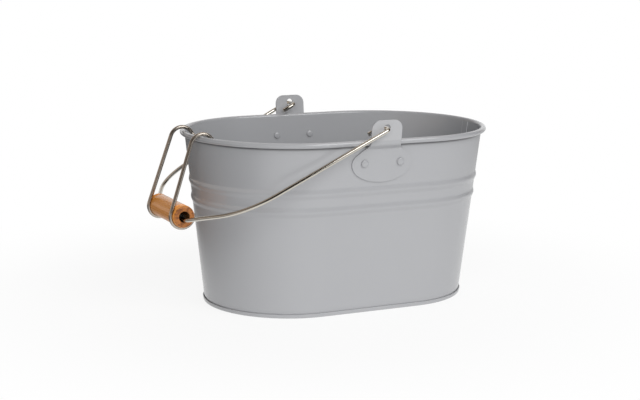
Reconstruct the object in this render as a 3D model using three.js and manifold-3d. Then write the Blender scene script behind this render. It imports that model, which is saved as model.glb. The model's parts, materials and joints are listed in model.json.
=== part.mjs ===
// Peg bucket: an oval, tapered sheet-steel bucket with a wire bail, a turned wooden grip and a wire
// hook for a washing line. At rest the hook sits over the left end of the rim. Millimetres, +Z up.
import * as THREE from "three";
import { mergeVertices } from "three/addons/utils/BufferGeometryUtils.js";
import Module from "manifold-3d";

// Bucket wall: X runs along the oval, Y across it
const RIM_LENGTH = 260; // over the rolled rim
const RIM_WIDTH = 175; // over the rolled rim
const HEIGHT = 141; // surface to the top of the rim
const SHEET = 0.8; // painted steel sheet
const RIM_WIRE = 2.2; // wire inside the rolled rim
const CURL_END = -112; // degrees, where the roll stops short of the wall
const RIDGE_COUNT = 2; // swaged ridges, below the ears
const RIDGE_GAP = 2.7; // foot of the ears to the first ridge
const RIDGE_PITCH = 14.3;
const RIDGE_HEIGHT = 9;
const RIDGE_PROUD = 1;
const SEAM_WIDTH = 8; // side seam, inside the right end
const SEAM_PROUD = 0.6;

// Base with its folded hem
const BASE_WIDTH = 139; // over the hem
const HEM_HEIGHT = 3.3;
const HEM_ROUND = 1;
const FLOOR_RISE = 4.2; // top of the recessed floor

// Ears
const EAR_SHEET = 1;
const EAR_TOP = 15.6; // above the rim
const EAR_HOLE_LEVEL = 9.6; // above the rim
const EAR_PLAY = 2.3; // hole wider than the wire
const TONGUE_WIDTH = 26.3;
const TONGUE_ROUND = 7;
const PLATE_WIDTH = 52.6;
const PLATE_MIDDLE = 19; // widest level, below the rim
const PLATE_BOTTOM = 33.8; // below the rim
const PLATE_SHOULDER = 7; // rise from the widest level to the slanted shoulder
const SHOULDER_INSET = 3.8; // side of the plate to the foot of the slanted shoulder
const JOG_RISE = 3.5; // height of the bend that leads the ear round the rim
const JOG_TOP = 3.4; // top of that bend, below the rim

// Rivets
const RIVET_INSET = 10.7; // side of the plate to the middle of a rivet
const RIVET_LEVEL = 18.2; // below the rim
const RIVET_SHANK = 3;
const RIVET_HEAD = 6;
const RIVET_DOME = 1.4;
const RIVET_TAIL = 5.4; // set head, inside the bucket
const RIVET_TAIL_DOME = 1.1;

// Bail
const BAIL_WIRE = 3.3;
const BAIL_DROP = 26.3; // degrees below level, at rest
const BAIL_BEND = 3.3; // middle radius of the bends at the ears
const BAIL_PLAY = 0.5; // outer face of an ear to the bend beside it
const BAIL_NARROW = 6.5; // how far each arm leans in on its way to its shoulder
const SHOULDER_RISE = 30; // line of the grip to the corner of each shoulder
const SHOULDER_RADIUS = 48;
const BAIL_LEAD = 3; // end of the grip to the corner where the wire turns to its shoulder
const TAIL_INSET = 6.9; // inner face of an ear to the bend beside it
const TAIL_LENGTH = 12;

// Grip
const GRIP_LENGTH = 60;
const GRIP_DIAMETER = 17.6;
const GRIP_GAP = 5; // grip to the end of the rim, along X
const GRIP_ROUND = 2;
const GRIP_PLAY = 4.9; // bore wider than the wire
const GROOVE_SPACING = 50;
const GROOVE_DEPTH = 1.2;

// Line hook
const HOOK_WIRE = 3.1;
const EYE_WRAP = 205; // degrees that each eye goes round the grip
const CROOK_SPACING = 45;
const CROOK_RADIUS = 9.7; // middle of the wire
const CROOK_OFFSET = 1.2; // middle of the crook, outward of the rim's middle
const CROOK_END = 30; // degrees above level, where each crook turns into the cross bar
const HOOK_BEND = 4;

// Fit between neighbours, and how finely round forms are cut
const CLEAR = 0.3;
const END_STEPS = 20; // facets in each round end of the oval
const WIRE_SIDES = 8;
const BEND_STEP = 20; // degrees
const TURNED_SIDES = 28;
const RIVET_SIDES = 16;

const { abs, acos, atan2, ceil, cos, hypot, PI, sin, sqrt, tan } = Math;
const radians = THREE.MathUtils.degToRad;
const vector = (x, y, z) => new THREE.Vector3(x, y, z);

// Values that follow from the sizes
const straight = (RIM_LENGTH - RIM_WIDTH) / 2; // half of the oval's straight side
const rimBead = RIM_WIRE + 2 * (CLEAR + SHEET);
const beadRadius = rimBead / 2;
const beadLine = RIM_WIDTH / 2 - beadRadius; // end radius of the bead's middle
const beadLevel = HEIGHT - beadRadius;
const wallTop = RIM_WIDTH / 2 - rimBead + SHEET;
const wallFoot = BASE_WIDTH / 2 - SHEET - CLEAR;
const flare = (wallTop - wallFoot) / (beadLevel - HEM_HEIGHT);
const taper = atan2(flare, 1);
const slantSheet = SHEET / cos(taper); // the sheet's thickness, measured level
const wallOuter = (z) => wallFoot + (z - HEM_HEIGHT) * flare;
const wallInner = (z) => wallOuter(z) - slantSheet;
const topRidge = HEIGHT - PLATE_BOTTOM - RIDGE_GAP - RIDGE_HEIGHT / 2;
const ridges = Array.from({ length: RIDGE_COUNT }, (_, i) => topRidge - i * RIDGE_PITCH).reverse();
const jogTop = HEIGHT - JOG_TOP;
const tongueInner = (z) => RIM_WIDTH / 2 + CLEAR + (z - jogTop) * flare; // leans out as the wall does
const slantEar = EAR_SHEET / cos(taper); // the ear's thickness, measured level
const rivetLevel = HEIGHT - RIVET_LEVEL;
const holeLevel = HEIGHT + EAR_HOLE_LEVEL;
const hingeLevel = holeLevel - EAR_PLAY / 2 + CLEAR; // the wire lies low in the hole
const gripX = -RIM_LENGTH / 2 - GRIP_GAP - GRIP_DIAMETER / 2;
const bailReach = -gripX / cos(radians(BAIL_DROP));
const bailHalf = tongueInner(holeLevel) + slantEar + BAIL_PLAY + BAIL_BEND;
const tailHalf = tongueInner(holeLevel) - TAIL_INSET - BAIL_BEND;
const gripSag = GRIP_PLAY / 2 - CLEAR; // the wire lies low in the bore
const gripZ = hingeLevel - bailReach * sin(radians(BAIL_DROP)) + gripSag;

const paint = { color: 0xa3a4a6, roughness: 0.42, metalness: 0.25 };
const nickel = { color: 0xc9c2b4, roughness: 0.24, metalness: 1 };
const steel = { color: 0x8d9093, roughness: 0.4, metalness: 1 };
const wood = { color: 0xbb7a42, roughness: 0.58, metalness: 0 };

const wasm = await Module();
wasm.setup();

// Closed geometry with its shared corners merged, its triangles without area left out
function welded(geometry) {
  const bare = new THREE.BufferGeometry();
  bare.setAttribute("position", geometry.getAttribute("position").clone());
  if (geometry.index) bare.setIndex(geometry.index.clone());
  const merged = mergeVertices(bare, 1e-4);
  const corners = merged.index.array;
  const kept = [];
  for (let i = 0; i < corners.length; i += 3) {
    const [a, b, c] = [corners[i], corners[i + 1], corners[i + 2]];
    if (a !== b && b !== c && c !== a) kept.push(a, b, c);
  }
  merged.setIndex(kept);
  return merged;
}

function solid(geometry) {
  const closed = welded(geometry);
  const vertProperties = closed.getAttribute("position").array;
  const triVerts = new Uint32Array(closed.index.array);
  return new wasm.Manifold(new wasm.Mesh({ numProp: 3, vertProperties, triVerts }));
}

function geometryOf(body) {
  const { vertProperties, triVerts } = body.getMesh();
  const geometry = new THREE.BufferGeometry();
  geometry.setAttribute("position", new THREE.BufferAttribute(vertProperties, 3));
  geometry.setIndex(new THREE.BufferAttribute(triVerts, 1));
  return geometry;
}

function piece(name, geometry, finish) {
  const mesh = new THREE.Mesh(welded(geometry), new THREE.MeshStandardMaterial(finish));
  mesh.geometry.computeVertexNormals();
  mesh.name = name;
  return mesh;
}

// Points on an arc in a plane, from one angle to another in degrees
function arc(x, y, radius, from, to, step) {
  const count = ceil(abs(to - from) / step);
  return Array.from({ length: count + 1 }, (_, i) => {
    const angle = radians(from + ((to - from) * i) / count);
    return new THREE.Vector2(x + radius * cos(angle), y + radius * sin(angle));
  });
}

// A profile of radius and height, revolved about Z and drawn out along X into an oval with straight
// sides. A profile that is off the axis closes on itself.
function ovalRevolve(profile) {
  const columns = 2 * END_STEPS + 2;
  const lathe = new THREE.LatheGeometry(profile, columns);
  const place = lathe.getAttribute("position");
  for (let column = 0; column <= columns; column++) {
    const turn = column % columns;
    const left = turn > END_STEPS;
    const angle = ((turn - (left ? 1 : 0)) / END_STEPS - 0.5) * PI;
    const shift = left ? -straight : straight;
    profile.forEach(({ x: radius, y: z }, row) => {
      const at = column * profile.length + row;
      place.setXYZ(at, shift + radius * cos(angle), radius * sin(angle), z);
    });
  }
  return lathe;
}

const closed = (profile) => [...profile, profile[0].clone()];

// How far the ridges push the sheet out at a height
function swage(z) {
  return ridges.reduce((sum, level) => {
    const off = abs(z - level) / (RIDGE_HEIGHT / 2);
    return off < 1 ? sum + RIDGE_PROUD * cos((off * PI) / 2) ** 2 : sum;
  }, 0);
}

// Heights at which the wall's section changes, from its foot to the roll of the rim
function wallLevels() {
  const parts = 6;
  const swaged = ridges.flatMap((level) =>
    Array.from({ length: parts + 1 }, (_, i) => level + (i / parts - 0.5) * RIDGE_HEIGHT),
  );
  return [SHEET + CLEAR, ...swaged];
}

// One sheet from the foot up over the ridges, rolled outward at the top
function wallProfile() {
  const levels = wallLevels();
  const outer = levels.map((z) => new THREE.Vector2(wallOuter(z) + swage(z), z));
  const inner = levels.map((z) => new THREE.Vector2(wallInner(z) + swage(z), z));
  const start = 180 - THREE.MathUtils.radToDeg(taper);
  const inRoll = arc(beadLine, beadLevel, beadRadius - SHEET, start, CURL_END, 36);
  const outRoll = arc(beadLine, beadLevel, beadRadius, CURL_END, start, 24);
  return closed([...outer, ...inRoll, ...outRoll, ...inner.reverse()]);
}

// The side seam: a folded strip that follows the wall up the inside of its right end
function seamBody() {
  const top = beadLevel - beadRadius;
  const levels = [FLOOR_RISE + CLEAR, ...wallLevels().slice(1), top];
  const back = levels.map((z) => new THREE.Vector2(wallInner(z) + swage(z) + SHEET / 2, z));
  const face = levels.map((z) => new THREE.Vector2(wallInner(z) + swage(z) - SEAM_PROUD, z));
  const outline = new THREE.Shape([...back, ...face.reverse()]);
  const strip = new THREE.ExtrudeGeometry(outline, { depth: SEAM_WIDTH, bevelEnabled: false });
  strip.rotateX(PI / 2);
  strip.translate(straight, SEAM_WIDTH / 2, 0);
  return solid(strip);
}

// A pin's place and direction at each rivet: square to the flat side of the wall
function rivetSeats() {
  const spots = [];
  for (const side of ["front", "back"]) {
    for (const hand of ["left", "right"]) {
      const seat = new THREE.Object3D();
      const facing = side === "back" ? 1 : -1;
      const across = hand === "right" ? 1 : -1;
      const x = across * (PLATE_WIDTH / 2 - RIVET_INSET);
      seat.position.set(x, facing * wallInner(rivetLevel), rivetLevel);
      seat.rotation.set(-taper, 0, facing > 0 ? 0 : PI, "ZYX");
      seat.updateMatrix();
      spots.push({ name: `rivet_${side}_${hand}`, seat, side });
    }
  }
  return spots;
}

function rivetHole({ seat }) {
  const radius = RIVET_SHANK / 2 + CLEAR;
  const drill = new THREE.CylinderGeometry(radius, radius, 4 * rimBead, RIVET_SIDES);
  return solid(drill.applyMatrix4(seat.matrix));
}

function bucketWall() {
  const sheet = solid(ovalRevolve(wallProfile())).add(seamBody());
  return geometryOf(rivetSeats().reduce((body, spot) => body.subtract(rivetHole(spot)), sheet));
}

function rimWire() {
  return ovalRevolve(closed(arc(beadLine, beadLevel, RIM_WIRE / 2, 0, 360, 45).slice(0, -1)));
}

// The floor, folded down inside the wall, under its foot and up outside it as the hem
function basePan() {
  const outside = (z) => wallOuter(z) + CLEAR + SHEET;
  const inside = (z) => wallInner(z) - CLEAR;
  const at = (radius, z) => new THREE.Vector2(radius, z);
  return ovalRevolve([
    at(0, FLOOR_RISE - SHEET),
    at(inside(FLOOR_RISE) - SHEET, FLOOR_RISE - SHEET),
    at(inside(0) - SHEET, 0),
    ...arc(outside(HEM_ROUND) - HEM_ROUND, HEM_ROUND, HEM_ROUND, 270, 360, 30),
    at(outside(HEM_HEIGHT), HEM_HEIGHT),
    at(wallOuter(HEM_HEIGHT) + CLEAR, HEM_HEIGHT),
    at(wallOuter(SHEET) + CLEAR, SHEET),
    at(inside(SHEET), SHEET),
    at(inside(FLOOR_RISE), FLOOR_RISE),
    at(0, FLOOR_RISE),
  ]);
}

// A line of points moved sideways by a distance, its corners kept sharp
function offsetLine(points, distance) {
  const normals = points.slice(1).map((point, i) => {
    const run = point.clone().sub(points[i]).normalize();
    return new THREE.Vector2(run.y, -run.x);
  });
  return points.map((point, i) => {
    const before = normals[Math.max(i - 1, 0)];
    const after = normals[Math.min(i, normals.length - 1)];
    const mitre = before.clone().add(after).normalize();
    return point.clone().addScaledVector(mitre, distance / mitre.dot(before));
  });
}

// The ear's bent sheet seen along X: flat on the wall, out round the rim and up beside the wall's line
function earSection() {
  const jogFoot = jogTop - JOG_RISE;
  const foot = HEIGHT - PLATE_BOTTOM - EAR_SHEET;
  const top = HEIGHT + EAR_TOP + EAR_SHEET;
  const lean = CLEAR / cos(taper);
  const inner = [
    new THREE.Vector2(wallOuter(foot) + lean, foot),
    new THREE.Vector2(wallOuter(jogFoot) + lean, jogFoot),
    new THREE.Vector2(tongueInner(jogTop), jogTop),
    new THREE.Vector2(tongueInner(top), top),
  ];
  return new THREE.Shape([...inner, ...offsetLine(inner, EAR_SHEET).reverse()]);
}

// The ear seen from the front: a round-cornered tongue on a wide plate with a curved foot
function earOutline() {
  const top = HEIGHT + EAR_TOP;
  const middle = HEIGHT - PLATE_MIDDLE;
  const shoulder = middle + PLATE_SHOULDER;
  const neck = HEIGHT - rimBead;
  const half = TONGUE_WIDTH / 2;
  const corner = half - TONGUE_ROUND;
  const shoulderHalf = PLATE_WIDTH / 2 - SHOULDER_INSET;
  const slope = shoulderHalf - half;
  const outline = new THREE.Shape();
  outline.moveTo(-PLATE_WIDTH / 2, middle);
  outline.absellipse(0, middle, PLATE_WIDTH / 2, PLATE_BOTTOM - PLATE_MIDDLE, PI, 2 * PI);
  outline.quadraticCurveTo(PLATE_WIDTH / 2, shoulder - slope / 4, shoulderHalf, shoulder);
  outline.lineTo(half + slope / 4, neck - slope / 4);
  outline.quadraticCurveTo(half, neck, half, neck + slope / 4);
  outline.lineTo(half, top - TONGUE_ROUND);
  outline.absarc(corner, top - TONGUE_ROUND, TONGUE_ROUND, 0, PI / 2);
  outline.absarc(-corner, top - TONGUE_ROUND, TONGUE_ROUND, PI / 2, PI);
  outline.lineTo(-half, neck + slope / 4);
  outline.quadraticCurveTo(-half, neck, -half - slope / 4, neck - slope / 4);
  outline.lineTo(-shoulderHalf, shoulder);
  outline.quadraticCurveTo(-PLATE_WIDTH / 2, shoulder - slope / 4, -PLATE_WIDTH / 2, middle);
  return outline;
}

// An ear of the back side, cut from its bent sheet
function ear() {
  const wide = { depth: PLATE_WIDTH + 2 * EAR_SHEET, bevelEnabled: false };
  const bent = new THREE.ExtrudeGeometry(earSection(), wide);
  bent.applyMatrix4(new THREE.Matrix4().makeBasis(vector(0, 1, 0), vector(0, 0, 1), vector(1, 0, 0)));
  bent.translate(-wide.depth / 2, 0, 0);
  const deep = { depth: RIM_WIDTH, bevelEnabled: false, curveSegments: 8 };
  const face = new THREE.ExtrudeGeometry(earOutline(), deep);
  face.rotateX(PI / 2);
  face.translate(0, RIM_WIDTH, 0);
  const eyeRadius = (BAIL_WIRE + EAR_PLAY) / 2;
  const eye = new THREE.CylinderGeometry(eyeRadius, eyeRadius, 4 * EAR_SHEET, RIVET_SIDES);
  eye.translate(0, tongueInner(holeLevel) + slantEar / 2, holeLevel);
  const holes = rivetSeats().filter(({ side }) => side === "back").map(rivetHole);
  const blank = solid(bent).intersect(solid(face)).subtract(solid(eye));
  return geometryOf(holes.reduce((body, hole) => body.subtract(hole), blank));
}

// A rivet along Y from the wall's inner face: a set head inside, a domed head outside
function rivet() {
  const grip = SHEET + 2 * CLEAR + EAR_SHEET;
  const dome = (radius, rise, level, from, to) =>
    arc(0, 0, 1, from, to, 30).map(({ x, y }) => new THREE.Vector2(x * radius, level + y * rise));
  return new THREE.LatheGeometry(
    [
      ...dome(RIVET_TAIL / 2, RIVET_TAIL_DOME, -CLEAR, 270, 360),
      new THREE.Vector2(RIVET_SHANK / 2, -CLEAR),
      new THREE.Vector2(RIVET_SHANK / 2, grip),
      ...dome(RIVET_HEAD / 2, RIVET_DOME, grip, 0, 90),
    ],
    RIVET_SIDES,
  );
}

// The route of a wire, followed from point to point
class WireRoute extends THREE.Curve {
  constructor(points) {
    super();
    this.points = points;
  }
  getPoint(t, target = new THREE.Vector3()) {
    return target.copy(this.points[Math.round(t * (this.points.length - 1))]);
  }
  getPointAt(t, target) {
    return this.getPoint(t, target);
  }
  getTangentAt(t, target = new THREE.Vector3()) {
    const i = Math.round(t * (this.points.length - 1));
    const here = this.points[i];
    const back = this.points[i - 1] ?? here;
    const ahead = this.points[i + 1] ?? here;
    const arriving = here.clone().sub(back).normalize();
    return target.copy(ahead).sub(here).normalize().add(arriving).normalize();
  }
}

function wire(points, diameter) {
  const section = new THREE.Shape().absarc(0, 0, diameter / 2, 0, 2 * PI);
  return new THREE.ExtrudeGeometry(section, {
    extrudePath: new WireRoute(points),
    steps: points.length - 1,
    curveSegments: WIRE_SIDES / 2,
    bevelEnabled: false,
  });
}

// Points round a bend of the given middle radius, from one straight run into the next
function bend(before, corner, after, radius) {
  const inward = before.clone().sub(corner).normalize();
  const onward = after.clone().sub(corner).normalize();
  const turn = PI - acos(inward.dot(onward));
  const start = corner.clone().addScaledVector(inward, radius * tan(turn / 2));
  const side = onward.clone().addScaledVector(inward, -inward.dot(onward)).normalize();
  const count = ceil(turn / radians(BEND_STEP));
  return Array.from({ length: count + 1 }, (_, i) => {
    const angle = (turn * i) / count;
    const point = start.clone().addScaledVector(inward, -radius * sin(angle));
    return point.addScaledVector(side, radius * (1 - cos(angle)));
  });
}

// The bail in its own plane: the hinge lies on Y, and the arms run along -X and round their shoulders
// to the grip
function bailWire() {
  const shoulderHalf = bailHalf - BAIL_NARROW;
  const exitHalf = GRIP_LENGTH / 2 + BAIL_LEAD;
  const exitRadius = BAIL_LEAD / tan(atan2(SHOULDER_RISE, shoulderHalf - exitHalf) / 2);
  const half = (facing) => {
    const tip = vector(-TAIL_LENGTH, facing * tailHalf, 0);
    const inside = vector(0, facing * tailHalf, 0);
    const outside = vector(0, facing * bailHalf, 0);
    const shoulder = vector(SHOULDER_RISE - bailReach, facing * shoulderHalf, 0);
    const exit = vector(-bailReach, facing * exitHalf, 0);
    const middle = vector(-bailReach, 0, 0);
    return [
      tip,
      ...bend(tip, inside, outside, BAIL_BEND),
      ...bend(inside, outside, shoulder, BAIL_BEND),
      ...bend(outside, shoulder, exit, SHOULDER_RADIUS),
      ...bend(shoulder, exit, middle, exitRadius),
    ];
  };
  return wire([...half(-1), ...half(1).reverse()], BAIL_WIRE);
}

// The turned grip along Y, with a bore for the bail and a groove for each eye of the hook
function grip() {
  const radius = GRIP_DIAMETER / 2;
  const end = GRIP_LENGTH / 2;
  const bore = (BAIL_WIRE + GRIP_PLAY) / 2;
  const width = HOOK_WIRE + 3 * CLEAR;
  const at = (x, y) => new THREE.Vector2(x, y);
  const groove = (middle) => [
    at(radius, middle - width / 2),
    at(radius - GROOVE_DEPTH, middle - width / 4),
    at(radius - GROOVE_DEPTH, middle + width / 4),
    at(radius, middle + width / 2),
  ];
  const profile = [
    at(bore, -end),
    ...arc(radius - GRIP_ROUND, GRIP_ROUND - end, GRIP_ROUND, 270, 360, 30),
    ...groove(-GROOVE_SPACING / 2),
    ...groove(GROOVE_SPACING / 2),
    ...arc(radius - GRIP_ROUND, end - GRIP_ROUND, GRIP_ROUND, 0, 90, 30),
    at(bore, end),
  ];
  return new THREE.LatheGeometry(closed(profile), TURNED_SIDES);
}

// The hook: an eye round each groove, a leg that leaves it on its outer side, a crook over the rim
// and one cross bar between the two crooks
function lineHook() {
  const crookHalf = CROOK_SPACING / 2;
  const eyeRadius = GRIP_DIAMETER / 2 - GROOVE_DEPTH + CLEAR + HOOK_WIRE / 2;
  const rest = CROOK_RADIUS - HOOK_WIRE / 2 - beadRadius - CLEAR;
  const crookX = -straight - sqrt(beadLine ** 2 - crookHalf ** 2) - CROOK_OFFSET;
  const crookZ = beadLevel - sqrt(rest ** 2 - CROOK_OFFSET ** 2);
  const [runX, runZ] = [crookX - gripX, crookZ - gripZ];
  const apart = hypot(runX, runZ);
  const lean = atan2(runZ, runX) + acos((eyeRadius - CROOK_RADIUS) / apart);
  const leave = THREE.MathUtils.radToDeg(lean);
  const half = (facing) => {
    const raise = (y) => (point) => vector(point.x, facing * y, point.y);
    const eye = arc(gripX, gripZ, eyeRadius, leave + EYE_WRAP, leave, BEND_STEP);
    const crook = arc(crookX, crookZ, CROOK_RADIUS, leave, CROOK_END, BEND_STEP);
    const end = raise(crookHalf)(crook.at(-1));
    const down = vector(sin(radians(CROOK_END)), 0, -cos(radians(CROOK_END)));
    const corner = end.clone().addScaledVector(down, HOOK_BEND);
    const across = corner.clone().setY(-corner.y);
    return [
      ...eye.map(raise(GROOVE_SPACING / 2)),
      ...crook.map(raise(crookHalf)),
      ...bend(end, corner, across, HOOK_BEND).slice(1),
    ];
  };
  return wire([...half(-1), ...half(1).reverse()], HOOK_WIRE);
}

// The bucket and what is fixed to it
const bucket = new THREE.Group();
bucket.add(piece("bucket_wall", bucketWall(), paint));
bucket.add(piece("rim_wire", rimWire(), steel));
bucket.add(piece("base_pan", basePan(), paint));
for (const side of ["front", "back"]) {
  const mesh = piece(`ear_${side}`, ear(), paint);
  mesh.rotation.z = side === "back" ? 0 : PI;
  bucket.add(mesh);
}
for (const { name, seat } of rivetSeats()) {
  const mesh = piece(name, rivet(), paint);
  seat.add(mesh);
  bucket.add(seat);
}

// The bail swings on the ears, with the grip on its wire and the hook round the grip
const bail = new THREE.Group();
bail.position.z = hingeLevel;
bail.rotation.y = -radians(BAIL_DROP);
bail.add(piece("bail_wire", bailWire(), nickel));
const handle = piece("grip", grip(), wood);
handle.position.set(gripX, 0, gripZ);
const hook = piece("line_hook", lineHook(), nickel);

// The origin lies under the middle of the whole, on the surface that the hem stands on
const assembly = new THREE.Group();
assembly.add(bucket, bail, handle, hook);
assembly.updateMatrixWorld(true);
const box = new THREE.Box3().setFromObject(assembly, true);
assembly.position.x = -(box.min.x + box.max.x) / 2;

const pegBucket = new THREE.Group();
pegBucket.name = "peg_bucket";
pegBucket.add(assembly);
export default pegBucket;
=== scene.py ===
# %% [markdown]
# # A peg bucket
# An oval bucket of painted sheet steel that holds clothes pegs and hangs on a washing line. A wire
# bail swings on two riveted ears, a turned wooden grip sits on the bail, and a wire hook swings on
# the grip. The solid model is loaded first as a fixed frame, in metres. Every piece below is made
# where that frame has it, so that it moves with the right body.

# %% The frame
import json
from math import acos, atan2, ceil, cos, degrees, hypot, pi, radians, sin, sqrt, tan

import bmesh
import bpy
from mathutils import Matrix, Quaternion, Vector


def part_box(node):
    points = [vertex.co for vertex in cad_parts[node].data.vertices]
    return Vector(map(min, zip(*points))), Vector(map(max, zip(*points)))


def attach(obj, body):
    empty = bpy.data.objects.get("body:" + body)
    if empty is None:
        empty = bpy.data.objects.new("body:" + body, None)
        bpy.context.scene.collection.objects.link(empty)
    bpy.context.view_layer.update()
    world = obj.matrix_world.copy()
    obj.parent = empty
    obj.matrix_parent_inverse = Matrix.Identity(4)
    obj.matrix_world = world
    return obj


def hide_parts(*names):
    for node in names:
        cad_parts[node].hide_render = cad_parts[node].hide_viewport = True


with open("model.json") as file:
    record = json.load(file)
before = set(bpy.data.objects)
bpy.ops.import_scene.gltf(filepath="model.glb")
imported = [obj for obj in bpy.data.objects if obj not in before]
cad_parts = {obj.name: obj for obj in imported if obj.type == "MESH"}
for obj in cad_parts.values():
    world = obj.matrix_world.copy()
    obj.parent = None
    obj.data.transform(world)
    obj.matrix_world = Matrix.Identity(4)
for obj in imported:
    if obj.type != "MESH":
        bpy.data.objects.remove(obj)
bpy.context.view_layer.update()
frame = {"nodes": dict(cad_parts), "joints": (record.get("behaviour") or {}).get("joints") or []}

scene = bpy.context.scene
joint_at = {joint["name"]: Vector(joint["pos_m"]) for joint in frame["joints"]}

# %% [markdown]
# ## Sizes
# The sizes of the sheet-metal work are written here once, in millimetres, and what follows from them is
# worked out. The oval's middle is read from the frame's base node, because the parked grip makes the
# whole object longer on one side and the origin lies under the middle of that.

# %% Sizes of the bucket
MM = 0.001
RIM_LENGTH = 259.96 * MM
RIM_WIDTH = 174.96 * MM
RIM_TOP = 141 * MM
BASE_WIDTH = 139 * MM
SHEET = 0.8 * MM
GAP = 0.3 * MM
BEAD_RADIUS = 2.2 * MM
HEM_HEIGHT = 3.3 * MM

base_low, base_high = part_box("base_pan")
middle = (base_low.x + base_high.x) / 2
rim_half = RIM_WIDTH / 2
straight = (RIM_LENGTH - RIM_WIDTH) / 2
bead_line = rim_half - BEAD_RADIUS
bead_level = RIM_TOP - BEAD_RADIUS
foot_half = BASE_WIDTH / 2 - SHEET - GAP
top_half = rim_half - 2 * BEAD_RADIUS + SHEET
flare = (top_half - foot_half) / (bead_level - HEM_HEIGHT)
taper = atan2(flare, 1)


def wall_line(level):
    return foot_half + (level - HEM_HEIGHT) * flare


print(f"oval centred on x = {middle:.4f} m, walls tapered by {degrees(taper):.1f} degrees")

# %% [markdown]
# ## Camera
# The view looks down a little on the front and the left end, through a long lens that keeps the oval
# from bulging. A camera can be aimed with a constraint, but its place and its turn are known here, so
# they are set directly: a track quaternion points it, and a small turn about its own axis levels it.

# %% Camera
AZIMUTH = radians(26.03)
PITCH = radians(10.62)
ROLL = radians(0.59)
LENS = 82.85
SENSOR = 36
VIEWPOINT = Vector((-0.5384, -1.0757, 0.3040))

ahead = Vector((sin(AZIMUTH) * cos(PITCH), cos(AZIMUTH) * cos(PITCH), -sin(PITCH)))
camera = bpy.data.objects.new("camera", bpy.data.cameras.new("camera"))
camera.data.sensor_width = SENSOR
camera.data.lens = LENS
camera.location = Vector((middle, 0, 0)) + VIEWPOINT
camera.rotation_mode = "QUATERNION"
camera.rotation_quaternion = ahead.to_track_quat("-Z", "Y") @ Quaternion((0, 0, 1), ROLL)
scene.collection.objects.link(camera)
scene.camera = camera
print(f"camera {VIEWPOINT.length:.2f} m from the bucket, {LENS} mm lens")

# %% [markdown]
# ## Shader maths
# A material is a graph of nodes, and wiring it by hand hides what it computes. This small class wraps
# one socket, so that Python's operators add the Math nodes and a formula can be read as a formula.
# Every other node comes from its method "node", which takes the node's type, its settings and what goes
# into its sockets. The methods after that are short names for the nodes that come back often.

# %% A socket with arithmetic
class Shade:
    def __init__(self, tree, socket=None):
        self.tree = tree
        self.socket = socket

    def node(self, kind, settings=None, inputs=None, output=0):
        made = self.tree.nodes.new(kind)
        for name, value in (settings or {}).items():
            setattr(made, name, value)
        for name, value in (inputs or {}).items():
            if isinstance(value, Shade):
                self.tree.links.new(value.socket, made.inputs[name])
            else:
                made.inputs[name].default_value = value
        return Shade(self.tree, made.outputs[output] if made.outputs else None)

    def math(self, operation, *values):
        return self.node("ShaderNodeMath", {"operation": operation}, dict(enumerate(values)))

    def __add__(self, other):
        return self.math("ADD", self, other)

    def __sub__(self, other):
        return self.math("SUBTRACT", self, other)

    def __rsub__(self, other):
        return self.math("SUBTRACT", other, self)

    def __mul__(self, other):
        return self.math("MULTIPLY", self, other)

    def __truediv__(self, other):
        return self.math("DIVIDE", self, other)

    def __rtruediv__(self, other):
        return self.math("DIVIDE", other, self)

    __radd__ = __add__
    __rmul__ = __mul__

    def step(self, start, stop):
        ends = {0: self, 1: start, 2: stop}
        return self.node("ShaderNodeMapRange", {"interpolation_type": "SMOOTHSTEP"}, ends)

    # A Mix node repeats its socket names for each kind of value, so the colours go by number
    def mix(self, first, second):
        return self.node("ShaderNodeMix", {"data_type": "RGBA"}, {0: self, 6: first, 7: second}, 2)

    def noise(self, scale, detail):
        return self.node("ShaderNodeTexNoise", None, {"Vector": self, "Scale": scale, "Detail": detail})

    def dot(self, axis):
        return self.node("ShaderNodeVectorMath", {"operation": "DOT_PRODUCT"}, {0: self, 1: axis}, "Value")

    def length(self):
        return self.node("ShaderNodeVectorMath", {"operation": "LENGTH"}, {0: self}, "Value")

    def part(self, axis):
        return self.node("ShaderNodeSeparateXYZ", None, {0: self}, axis)

    def mapped(self, location=(0, 0, 0), scale=(1, 1, 1)):
        return self.node("ShaderNodeMapping", None, {"Vector": self, "Location": location, "Scale": scale})

    def place(self, kind="Object"):
        return self.node("ShaderNodeTexCoord", output=kind)

    def attribute(self, name, output="Fac"):
        return self.node("ShaderNodeAttribute", {"attribute_name": name}, None, output)

    def ray(self, kind):
        return self.node("ShaderNodeLightPath", output=f"Is {kind} Ray")


print("a socket knows:", ", ".join(name for name in vars(Shade) if not name.startswith("_")))

# %% [markdown]
# ## Room
# The world does two jobs here, and the Light Path node tells them apart. As light it is an even grey,
# weaker on the left, which leaves the left end of the bucket in shade. In reflections it is a room: white
# paper behind the bucket, warm walls that are brighter on the left, and a pale ceiling, because bare
# metal shows only what stands round it. The camera sees plain white. An image of a studio could do the
# same, but a few steps along three directions are enough.

# %% What lies in each direction
LEFT_WALL = 0.8
RIGHT_WALL = 0.06
UPPER_LOSS = 0.75
CEILING = 0.5

scene.view_settings.view_transform = "Standard"
scene.world = bpy.data.worlds.new("studio")
scene.world.use_nodes = True
scene.world.node_tree.nodes.clear()
shade = Shade(scene.world.node_tree)
away = Vector((ahead.x, ahead.y, 0)).normalized()
rightward = Vector((ahead.y, -ahead.x, 0)).normalized()
direction = shade.place("Generated")
to_paper = direction.dot(away)
to_right = direction.dot(rightward)
upward = direction.part("Z")
paper = to_paper.step(0.65, 0.95)
side_walls = LEFT_WALL - to_right.step(-0.9, 0.4) * (LEFT_WALL - RIGHT_WALL)
walls = side_walls * (1 - upward.step(0.08, 0.3) * UPPER_LOSS)
round_about = walls + paper * (1 - walls)
ceiling = upward.step(0.55, 0.85) * to_paper.step(-0.5, 0.1)
room = round_about + ceiling * (CEILING - round_about)
print("nodes in the room:", len(shade.tree.nodes))

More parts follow.
